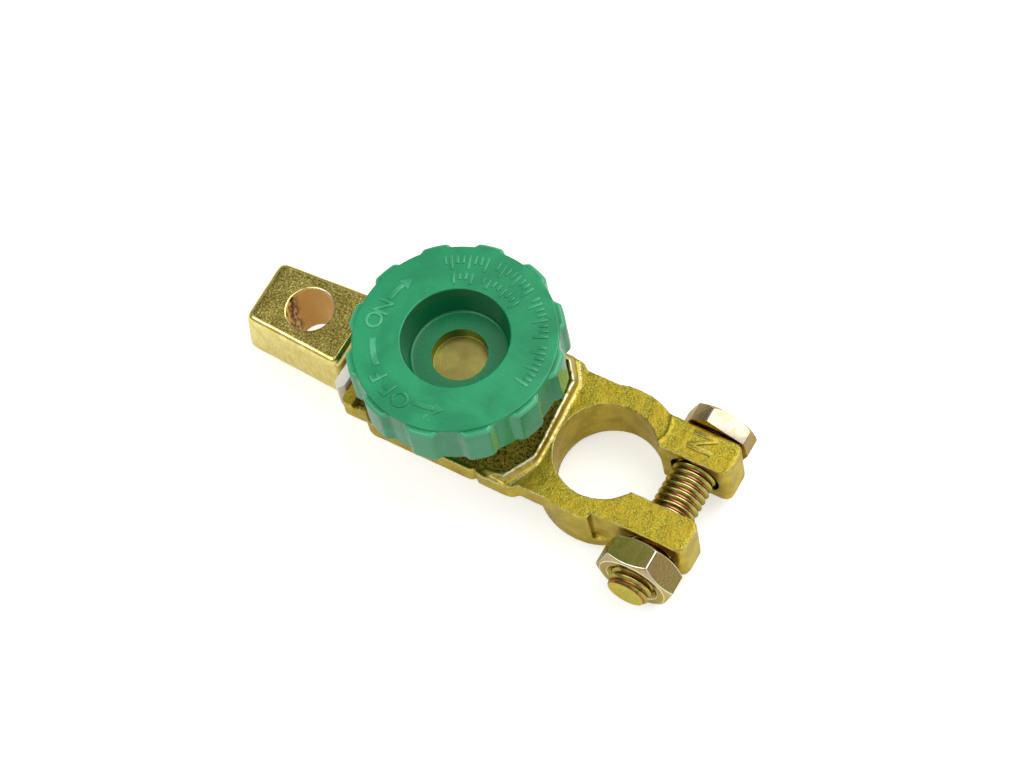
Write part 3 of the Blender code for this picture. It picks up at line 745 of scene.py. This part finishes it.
def makeLip():
    # a wall that leans inwards from its foot to a narrow crest
    size = castingSize
    bm = prism(size["lipInside"] + size["lipFoot"][::-1], size["lipBottom"], size["lipTop"])
    for vert in bm.verts:
        if vert.co.z < 0:
            continue
        for foot, crest in zip(size["lipFoot"], size["lipCrest"]):
            if (vert.co.xy - Vector(foot)).length < 0.01:
                vert.co.x, vert.co.y = crest
        if vert.co.x < -16.5 and vert.co.y < 0:
            # the near end sinks into the tray's side
            vert.co.z = size["lipEnd"]
    bmesh.ops.triangulate(bm, faces=bm.faces[:])
    return bm


def awayFrom(point, path):
    # distance in plan from a point to a bent line
    least = 99.0
    for start, end in zip(path, path[1:]):
        a, run = Vector(start), Vector(end) - Vector(start)
        share = min(max((point - a).dot(run) / run.length_squared, 0), 1)
        least = min(least, (point - a - run * share).length)
    return least


def squareArms(bm):
    # fills each arm out to crisp edges, then rounds the two corners of its end
    size = castingSize
    block, radius = size["armBlock"], size["armCorner"]
    reach = postPlace["armReach"]
    for side in (-1, 1):
        filled = prism([(x, side * y) for x, y in block], size["armFoot"], size["armTop"])
        bm = carve(bm, filled, "UNION")
        for face, way in ((side * block[0][1], side), (side * block[2][1], -side)):
            outline = arcPoints((reach - radius, face + way * radius), radius, -90 * way, 0, 6)
            outline += [
                (reach + 1, face + way * radius), (reach + 1, face - way), (reach - radius, face - way),
            ]
            bm = carve(bm, prism(outline, -11, 1))
    hole = size["boltHole"]
    return carve(bm, turnedAlongY([(0.0, -14.0), (hole, -14.0), (hole, 14.0), (0.0, 14.0)], steps=72))


def makeCasting():
    size = castingSize
    bm = copyOfNode("clamp_casting", size["mergeWithin"])
    bm = carve(bm, boxCutter(*size["lipRoom"]))
    bm = squareArms(bm)
    bm = carve(bm, boxCutter(*size["nearFlat"]))
    bm = carve(bm, makeLip(), "UNION")
    for low, high in size["slits"]:
        bm = carve(bm, boxCutter(low, high))
    bm = castSoft(bm, size)
    for vert in bm.verts:
        if isWithin(vert.co, size["beadRoom"]):
            near = awayFrom(vert.co.xy, size["bead"])
            vert.co.z += size["beadRise"] * math.exp(-(near / size["beadSpread"]) ** 2)
    wearAndSheen = bm.verts.layers.float["edgeWearAndSheen"]
    for vert in bm.verts:
        if not isWithin(vert.co, size["lipSheenRoom"]):
            continue
        # the lip's crest and foot are painted bright, partly wear and partly painted highlight; the slope
        # between them gets less, a painted reflection
        if vert.co.z > size["crestFrom"]:
            vert[wearAndSheen] = size["crestWearAndHighlight"]
        elif vert.co.z > size["slopeFrom"]:
            vert[wearAndSheen] = max(vert[wearAndSheen], size["slopeSheen"])
        elif awayFrom(vert.co.xy, size["lipFoot"]) < size["footWithin"]:
            vert[wearAndSheen] = size["footWearAndHighlight"]
    bm.normal_update()
    for face in bm.faces:
        if face.normal.z > 0.8 and isWithin(face.calc_center_median(), size["floorRoom"]):
            face.material_index = 1
    makePiece(bm, "clampCasting", "clamp", [castBrass, trayFloor], ["clamp_casting"],
              weighted=False, sharperThan=80)


markSize = {
    "low": -0.15, "high": 0.24, "width": 0.78, "edge": 0.1,
    "strokes": [((11.5, 9.75), (16.1, 9.75)), ((11.6, 7.1), (16.0, 9.7)), ((11.5, 7.05), (16.1, 7.05))],
}


def strokeBetween(start, end, width, low, high):
    # one raised bar between two points
    run = Vector((end[0] - start[0], end[1] - start[1]))
    side = Vector((-run.y, run.x)).normalized() * width / 2
    a, b = Vector(start), Vector(end)
    return prism([a - side, b - side, b + side, a + side], low, high)


def makeArmMarks():
    # raised casting mark on the far arm
    size = markSize
    joined = None
    for start, end in size["strokes"]:
        bar = strokeBetween(start, end, size["width"], size["low"], size["high"])
        joined = carve(joined, bar, "UNION") if joined else bar
    roundEdges(joined, size["edge"], segments=2)
    makePiece(joined, "armMark", "clamp", [castBrass], weighted=False)


insulatorSize = {"edge": 0.22}


def makeInsulator():
    bm = copyOfNode("insulator")
    roundEdges(bm, insulatorSize["edge"])
    makePiece(bm, "nylonSpacer", "clamp", [milkyNylon], ["insulator"])


makeCasting()
makeArmMarks()
makeInsulator()
print("casting and insulator made")


# the cable lug
lugSize = {
    "grid": 0.24, "passes": 3, "sag": 0.09, "sagSize": 3.2, "mergeWithin": 0.02, "outerPasses": 14,
    "blockEnd": -53.0, "planed": 0.34, "slant": (0, -0.44, 0.90),
    "holeTaper": 0.13, "taperFrom": 3.2, "taperDepth": 11.5,
    # how far from the hole's wall each treatment starts or ends
    "settledFrom": 0.9, "taperedTo": 0.3, "stainedTo": 0.25,
}


def makeLug():
    size = lugSize
    bm = copyOfNode("lug_casting", size["mergeWithin"])
    bm = castSoft(bm, size)
    hole, radius = Vector(lugLook["holeAt"]), lugLook["holeRadius"]
    outer = [vert for vert in bm.verts if (vert.co.xy - hole.xy).length > radius + size["settledFrom"]]
    for _ in range(size["outerPasses"]):
        settle(bm, outer)
    # the near top edge is planed to a narrow slanting flat
    nearSide = min(vert.co.y for vert in bm.verts if vert.co.x < size["blockEnd"])
    topSide = max(vert.co.z for vert in bm.verts)
    slant = Vector(size["slant"]).normalized()
    corner = Vector((0, nearSide, topSide)) - slant * size["planed"]
    for vert in bm.verts:
        over = (vert.co - corner).dot(slant)
        if over > 0:
            vert.co -= slant * over
    settle(bm, outer)
    for vert in bm.verts:
        # the cable hole narrows a little towards its foot
        out = vert.co.xy - hole.xy
        if out.length < radius + size["taperedTo"]:
            down = min(max((size["taperFrom"] - vert.co.z) / size["taperDepth"], 0), 1)
            vert.co.xy = hole.xy + out * (1 - size["holeTaper"] * down)
    bm.normal_update()
    for face in bm.faces:
        away = (face.calc_center_median().xy - hole.xy).length
        if away < radius + size["stainedTo"] and abs(face.normal.z) < 0.75:
            face.material_index = 1
    makePiece(bm, "cableLug", "clamp", [lugBrass, lugHoleWall], ["lug_casting"],
              weighted=False, sharperThan=80)


makeLug()
print("lug made")


# the knob and what turns with it
knobSize = {
    "foot": 9.3, "top": 18.55, "lobeTop": 18.12, "rimRadius": 17.2, "rimEdge": 0.32,
    "lobeRadius": 18.25, "lobes": 12, "firstLobe": 10.8, "lobeHalfAngle": 11.0, "lobeFlank": 5.4,
    "lobeEdge": 0.7, "recessRadius": 9.05, "recessFoot": 8.3, "recessFloor": 12.55, "recessFillet": 0.5,
    "boreRadius": 5.1, "hubRadius": 8.5, "hubFoot": -0.6, "outlinePoints": 480, "turnSteps": 144,
    "ringInner": 14.0,
}


def makeKnob():
    size = knobSize
    rim, hub, bore, edge = size["rimRadius"], size["hubRadius"], size["boreRadius"], size["rimEdge"]
    foot, top, floor, fillet = size["foot"], size["top"], size["recessFloor"], size["recessFillet"]
    profile = [(bore, size["hubFoot"]), (hub, size["hubFoot"]), (hub, foot), (rim, foot)]
    profile += arcPoints((rim - edge, top - edge), edge, 0, 90, 4)
    profile += arcPoints((size["recessRadius"] + edge, top - edge), edge, 90, 180, 4)
    profile += arcPoints((size["recessFoot"] - fillet, floor + fillet), fillet, 0, -90, 4)
    profile += [(bore, floor)]
    bm = turned(profile, knobCentre, steps=size["turnSteps"])

    lobed = bmesh.new()
    points = size["outlinePoints"]
    outline = bmesh.ops.create_circle(lobed, cap_ends=False, radius=rim, segments=points)["verts"]
    reach = size["lobeRadius"] / rim
    share = 360 / size["lobes"]
    for vert in outline:
        angle = math.degrees(math.atan2(vert.co.y, vert.co.x)) - size["firstLobe"]
        off = abs((angle + share / 2) % share - share / 2)
        part = min(max((size["lobeHalfAngle"] - off) / size["lobeFlank"], 0), 1)
        part = part * part * (3 - 2 * part)
        vert.co.xy *= 1 + (reach - 1) * part
    bmesh.ops.create_circle(lobed, cap_ends=False, radius=size["ringInner"], segments=points)
    bmesh.ops.bridge_loops(lobed, edges=lobed.edges[:])
    liftFaces(lobed, lobed.faces[:], size["lobeTop"] - foot)
    shift(lobed, knobCentre + Vector((0, 0, foot)))
    facesOut(lobed)

    def onOutside(edge):
        return all((vert.co - knobCentre).xy.length > rim - 1 for vert in edge.verts)

    roundEdges(lobed, size["lobeEdge"], sharperThan=60, segments=4, choose=onOutside)
    joinInto(bm, lobed)
    makePiece(bm, "knobBody", "knob", [mouldedGreen], ["knob"])


letterSize = {"size": 4.05, "rise": 0.28, "edge": 0.05, "offset": -0.01}


def bearing(angle):
    return Vector((math.cos(math.radians(angle)), math.sin(math.radians(angle))))


def aroundKnob(angle, radius):
    # a point in plan, by its bearing from the knob's centre
    return knobCentre.xy + bearing(angle) * radius


def letter(bm, text, angle, radius):
    # one raised letter whose head points away from the knob's centre
    curve = bpy.data.curves.new("letter", "FONT")
    curve.body = text
    curve.size = letterSize["size"]
    curve.align_x = "CENTER"
    curve.align_y = "CENTER"
    curve.extrude = letterSize["rise"] / 2
    curve.bevel_depth = letterSize["edge"]
    curve.bevel_resolution = 1
    curve.offset = letterSize["offset"]
    holder = newObject("letter", curve)
    flat = shapeOf(holder)
    turn = Matrix.Rotation(math.radians(angle - 90), 4, "Z")
    out = aroundKnob(angle, radius).to_3d() + Vector((0, 0, knobSize["top"]))
    flat.transform(Matrix.Translation(out) @ turn)
    part = bmesh.new()
    takeIn(part, flat)
    merge(part, 0.002)
    facesOut(part)
    joinInto(bm, part)
    bpy.data.objects.remove(holder)
    bpy.data.curves.remove(curve)


def arcBar(radius, width, start, end, low, high):
    # a raised bar bent round the knob's centre
    bm = bmesh.new()
    steps = max(2, round(abs(end - start) / 3))
    first = [bm.verts.new((radius + side * width / 2, 0, 0)) for side in (-1, 1)]
    edge = bm.edges.new(first)
    bmesh.ops.spin(
        bm, geom=first + [edge], cent=(0, 0, 0), axis=(0, 0, 1), angle=math.radians(end - start), steps=steps,
    )
    liftFaces(bm, bm.faces[:], high - low)
    turn = Matrix.Rotation(math.radians(start), 3, "Z")
    bmesh.ops.rotate(bm, verts=bm.verts[:], cent=(0, 0, 0), matrix=turn)
    shift(bm, knobCentre + Vector((0, 0, low)))
    facesOut(bm)
    return bm


markLayout = {
    "sunk": 0.1, "rise": 0.19, "edge": 0.09, "tickWidth": 0.5, "tickEdge": 0.08,
    # letter, bearing in degrees, radius
    "letters": [
        ("O", 192.4, 13.9), ("N", 181.0, 13.4),
        ("O", 260.0, 13.9), ("F", 248.6, 13.9), ("F", 236.6, 13.9),
    ],
    # radius, width, first and last bearing: the dash between the words, and the two arrows' shafts
    "bars": [(13.6, 1.0, 206.4, 228.3), (13.5, 0.85, 158.5, 173.5), (13.3, 0.85, 268.5, 286.0)],
    # bearings of each arrow's tip and base
    "arrowHeads": [(150.5, 159.5), (292.5, 285.0)],
    "tipRadius": 13.45, "baseRadii": (14.5, 12.3),
    # radius, first and last bearing, step, height of the long ticks
    "tickBands": [(14.1, -10, 130, 4.0, 2.6), (11.0, 59, 121, 5.0, 2.0)],
    "longEvery": 3, "gapEvery": 9, "shortTick": 0.6,
    # bearing, radius, direction, length
    "scratches": [
        (281, 14.9, 60, 1.0), (284, 15.6, -20, 0.8), (293.5, 15.2, 75, 1.7), (318, 14.6, 30, 0.4),
        (300, 11.0, 10, 0.4),
    ],
    "scratchWidth": 0.22, "scratchRise": 0.05,
}


def makeKnobMarks():
    # ON, OFF and their arrows, and plain graduation ticks over the rest of the face
    layout, top = markLayout, knobSize["top"]
    low, high = top - layout["sunk"], top + layout["rise"]
    words = bmesh.new()
    for text, angle, radius in layout["letters"]:
        letter(words, text, angle, radius)
    makePiece(words, "knobWords", "knob", [raisedGreen], weighted=False, sharperThan=30)

    marks = bmesh.new()

    def addMark(mark, edge):
        roundEdges(mark, edge, sharperThan=50, segments=2)
        joinInto(marks, mark)

    for radius, width, start, end in layout["bars"]:
        addMark(arcBar(radius, width, start, end, low, high), layout["edge"])
    for tip, base in layout["arrowHeads"]:
        corners = [aroundKnob(tip, layout["tipRadius"])]
        corners += [aroundKnob(base, radius) for radius in layout["baseRadii"]]
        addMark(prism(corners, low, high), layout["edge"])
    for radius, start, end, step, tall in layout["tickBands"]:
        count = round((end - start) / step)
        for index in range(count + 1):
            if (index + 1) % layout["gapEvery"] == 0:
                continue
            angle = start + (end - start) * index / count
            length = tall if index % layout["longEvery"] == 0 else tall * layout["shortTick"]
            outer = radius + tall / 2
            near, far = aroundKnob(angle, outer - length), aroundKnob(angle, outer)
            addMark(strokeBetween(near, far, layout["tickWidth"], low, high), layout["tickEdge"])
    for angle, radius, turn, length in layout["scratches"]:
        way = bearing(turn) * length / 2
        middle, rise = aroundKnob(angle, radius), layout["scratchRise"]
        joinInto(marks, strokeBetween(middle - way, middle + way, layout["scratchWidth"], low, top + rise))
    makePiece(marks, "knobMarks", "knob", [raisedGreen])


studSize = {"edge": 0.1, "lap": 0.25}


def makeStud():
    bm = copyOfNode("knob_stud")
    roundEdges(bm, studSize["edge"], segments=2)
    rim = max(vert.co.z for vert in bm.verts)
    for face in bm.faces:
        # a film of the moulding laps over the cup's rim
        if all(vert.co.z > rim - studSize["lap"] for vert in face.verts):
            face.material_index = 1
    makePiece(bm, "knobStud", "knob", [studBrass, mouldedGreen], ["knob_stud"])


makeKnob()
makeKnobMarks()
makeStud()
for node, material in (("contact_washer", washerBrass), ("stud_clip", springSteel)):
    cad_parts[node].data.materials.clear()
    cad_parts[node].data.materials.append(material)
print("knob made")


def hexPrism(bm, acrossFlats, low, high, lean):
    # a hexagon along Y whose upper flat leans towards +X by lean degrees
    corner = acrossFlats / math.sqrt(3)
    bmesh.ops.create_cone(
        bm, cap_ends=True, segments=6, radius1=corner, radius2=corner, depth=high - low,
        matrix=Matrix.Translation(boltCentre + Vector((0, (low + high) / 2, 0)))
        @ Matrix.Rotation(math.radians(lean - 30), 4, "Y")
        @ Matrix.Rotation(math.radians(90), 4, "X"),
    )


def makeThread(bm, low, high):
    # one V-shaped thread, spun along the bolt and trimmed flat at both ends
    size = boltSize
    pitch, steps = size["pitch"], size["stepsPerTurn"]
    turns = math.ceil((high - low) / pitch) + 2
    height = size["radius"] - size["root"]
    verts = [
        bm.verts.new(boltCentre + Vector((size["root"] + height * share, low - pitch + along, 0)))
        for share, along in size["ridge"]
    ]
    edges = [bm.edges.new((verts[i], verts[i + 1])) for i in range(len(verts) - 1)]
    bmesh.ops.spin(
        bm, geom=verts + edges, cent=boltCentre, axis=(0, 1, 0), dvec=(0, pitch / steps, 0),
        angle=math.tau * turns, steps=steps * turns,
    )
    merge(bm, 0.004)
    for level, way in ((low, -1), (high, 1)):
        bmesh.ops.bisect_plane(
            bm, geom=bm.verts[:] + bm.edges[:] + bm.faces[:], plane_co=(0, level, 0),
            plane_no=(0, way, 0), clear_outer=True, dist=0.0001,
        )
    for vert in bm.verts:
        # the thread runs out in a cone at the bolt's end
        out = Vector((vert.co.x - boltCentre.x, 0, vert.co.z - boltCentre.z))
        most = size["endRadius"] + (vert.co.y - low) * size["endSlope"]
        if out.length > most:
            vert.co -= out * (1 - most / out.length)
    bmesh.ops.holes_fill(bm, edges=[edge for edge in bm.edges if len(edge.link_faces) == 1], sides=0)
    facesOut(bm)


def makeBolt():
    size, seat = boltSize, boltSize["seat"]
    head = bmesh.new()
    hexPrism(head, size["acrossFlats"], seat, seat + size["headHeight"], size["headLean"])
    dome = turnedAlongY([(0.0, seat - 1)] + [(radius, seat + rise) for radius, rise in size["dome"]])
    head = carve(head, dome, "INTERSECT")
    # two opposite corners of the hexagon are trimmed flat
    half = Vector((size["trimmedWidth"], 20, 30)) / 2
    slab = boxCutter(-half, half)
    lean = Matrix.Rotation(math.radians(size["headLean"]), 3, "Y")
    bmesh.ops.rotate(slab, cent=(0, 0, 0), matrix=lean, verts=slab.verts[:])
    shift(slab, boltCentre + Vector((0, seat, 0)))
    head = carve(head, slab, "INTERSECT")
    roundEdges(head, size["headEdge"], sharperThan=24, segments=3)
    for face in head.faces:
        face.material_index = 1
    thread = bmesh.new()
    makeThread(thread, size["end"], seat + size["intoHead"])
    joinInto(head, thread)
    makePiece(head, "clampBolt", "bolt", [boltZinc, headZinc], ["clamp_bolt"],
              weighted=False, sharperThan=34)


nutSize = {
    "low": -17.2, "high": -12.1, "acrossFlats": 12.8, "lean": -6.8, "bore": 3.95, "mouth": 4.7,
    "chamferRadius": 6.0, "chamferAngle": 30, "edge": 0.2,
}


def makeNut():
    size = nutSize
    low, high, chamfer = size["low"], size["high"], size["chamferRadius"]
    body = bmesh.new()
    hexPrism(body, size["acrossFlats"], low, high, size["lean"])
    corner = size["acrossFlats"] / math.sqrt(3) + 0.3
    drop = (corner - chamfer) * math.tan(math.radians(size["chamferAngle"]))
    barrel = turnedAlongY([
        (0.0, low - 0.01), (chamfer, low - 0.01), (corner, low + drop),
        (corner, high - drop), (chamfer, high + 0.01), (0.0, high + 0.01),
    ])
    body = carve(body, barrel, "INTERSECT")
    hole, mouth = size["bore"], size["mouth"]
    lead = mouth - hole
    bore = turnedAlongY([
        (0.0, low - 1), (mouth + 1, low - 1), (hole, low + lead),
        (hole, high - lead), (mouth + 1, high + 1), (0.0, high + 1),
    ])
    body = carve(body, bore)
    roundEdges(body, size["edge"], sharperThan=20, segments=3)
    makePiece(body, "clampNut", "nut", [nutZinc], ["clamp_nut"], sharperThan=34)


makeBolt()
makeNut()
print("bolt and nut made")


# floor, light and camera
studio = {
    "floorSize": 6.0, "paper": (0.80, 0.80, 0.788), "lift": (1.0, 1.0, 0.97),
    "floorSeen": 0.56, "floorMirrored": 0.13,
}


def makeFloor():
    bm = bmesh.new()
    bmesh.ops.create_grid(bm, x_segments=1, y_segments=1, size=studio["floorSize"] / 2)
    floor = newObject("floor", meshOf(bm, "floor"))
    finish = bpy.data.materials.new("paperWhite")
    finish.use_nodes = True
    tree = finish.node_tree
    tree.nodes.clear()
    paper = addNode(tree, "BsdfDiffuse", {"Color": (*studio["paper"], 1)})
    rays = addNode(tree, "LightPath").outputs
    mirrored = mathOf(tree, "MAXIMUM", rays["Is Glossy Ray"], rays["Is Transmission Ray"])
    mirrored = times(tree, mirrored, studio["floorMirrored"])
    seen = times(tree, rays["Is Camera Ray"], studio["floorSeen"])
    seen = mathOf(tree, "MAXIMUM", seen, mirrored)
    lift = addNode(tree, "Emission", {"Color": (*studio["lift"], 1), "Strength": seen})
    both = addNode(tree, "AddShader", {0: paper.outputs[0], 1: lift.outputs[0]})
    addNode(tree, "OutputMaterial", {"Surface": both.outputs[0]})
    floor.data.materials.append(finish)


# the tent round the object: bright overhead and to the right, dim at the back left,
# with a bright band low down at the front and right
tent = {
    "towards": (0.35, 0.40, 0.85),
    "levels": [(0.0, 0.26), (0.42, 0.17), (0.60, 0.30), (0.76, 0.66), (0.94, 1.15)],
    "bandTowards": (0.72, -0.69, 0.0), "bandLevel": 0.85,
}


def makeWorld():
    world = bpy.data.worlds.new("studioWorld")
    bpy.context.scene.world = world
    world.use_nodes = True
    tree = world.node_tree
    tree.nodes.clear()
    way = addNode(tree, "TexCoord").outputs["Generated"]

    def towards(axis):
        direction = Vector(axis).normalized()
        return addNode(tree, "VectorMath", {0: way, 1: direction}, operation="DOT_PRODUCT").outputs["Value"]

    above = rampOf(tree, mathOf(tree, "MAXIMUM", towards(tent["towards"]), 0.0),
                   [(place, (level,) * 3) for place, level in tent["levels"]], "EASE")
    height = towards((0, 0, 1))
    band = times(tree, between(tree, height, 0.08, 0.22), between(tree, height, 0.34, 0.52, 1, 0))
    band = times(tree, band, between(tree, towards(tent["bandTowards"]), 0.0, 0.6))
    sky = mixOf(tree, band, above, (tent["bandLevel"],) * 3)
    seen = addNode(tree, "LightPath").outputs["Is Camera Ray"]
    colour = mixOf(tree, seen, sky, (1.0, 1.0, 1.0))
    background = addNode(tree, "Background", {"Color": colour, "Strength": 1.0})
    addNode(tree, "OutputWorld", {"Surface": background.outputs[0]})


lamps = {
    "overheadSoftbox": {"way": (0.26, 0.46, 0.85), "away": 0.75, "size": (0.66, 0.60), "radiance": 1.9},
    "nearStrip": {"way": (-0.32, -0.46, 0.83), "away": 0.75, "size": (0.60, 0.36), "radiance": 2.5},
}


def makeLamps():
    for name, look in lamps.items():
        light = bpy.data.lights.new(name, "AREA")
        light.shape = "RECTANGLE"
        light.size, light.size_y = look["size"]
        light.energy = look["radiance"] * math.pi * light.size * light.size_y
        lamp = newObject(name, light)
        way = Vector(look["way"]).normalized()
        turn = way.to_track_quat("Z", "Y").to_matrix().to_4x4()
        lamp.matrix_world = Matrix.Translation(way * look["away"]) @ turn


cameraPlace = {
    "at": (0.1903113, -0.2027722, 0.5287280), "right": (0.86473613, 0.4883961, -0.11704987),
    "up": (-0.38810176, 0.79775701, 0.46147674), "back": (0.31876079, -0.35362835, 0.8793967),
    "lens": 123.047, "sensorWidth": 36, "nearest": 0.01, "farthest": 20,
}


def makeCamera():
    view = cameraPlace
    data = bpy.data.cameras.new("camera")
    data.lens = view["lens"]
    data.sensor_width = view["sensorWidth"]
    data.sensor_fit = "HORIZONTAL"
    data.clip_start, data.clip_end = view["nearest"], view["farthest"]
    camera = newObject("camera", data)
    turn = Matrix((view["right"], view["up"], view["back"])).transposed().to_4x4()
    camera.matrix_world = Matrix.Translation(view["at"]) @ turn
    bpy.context.scene.camera = camera


makeFloor()
makeWorld()
makeLamps()
makeCamera()
bpy.context.scene.view_settings.view_transform = "Standard"
print("floor, light and camera made")
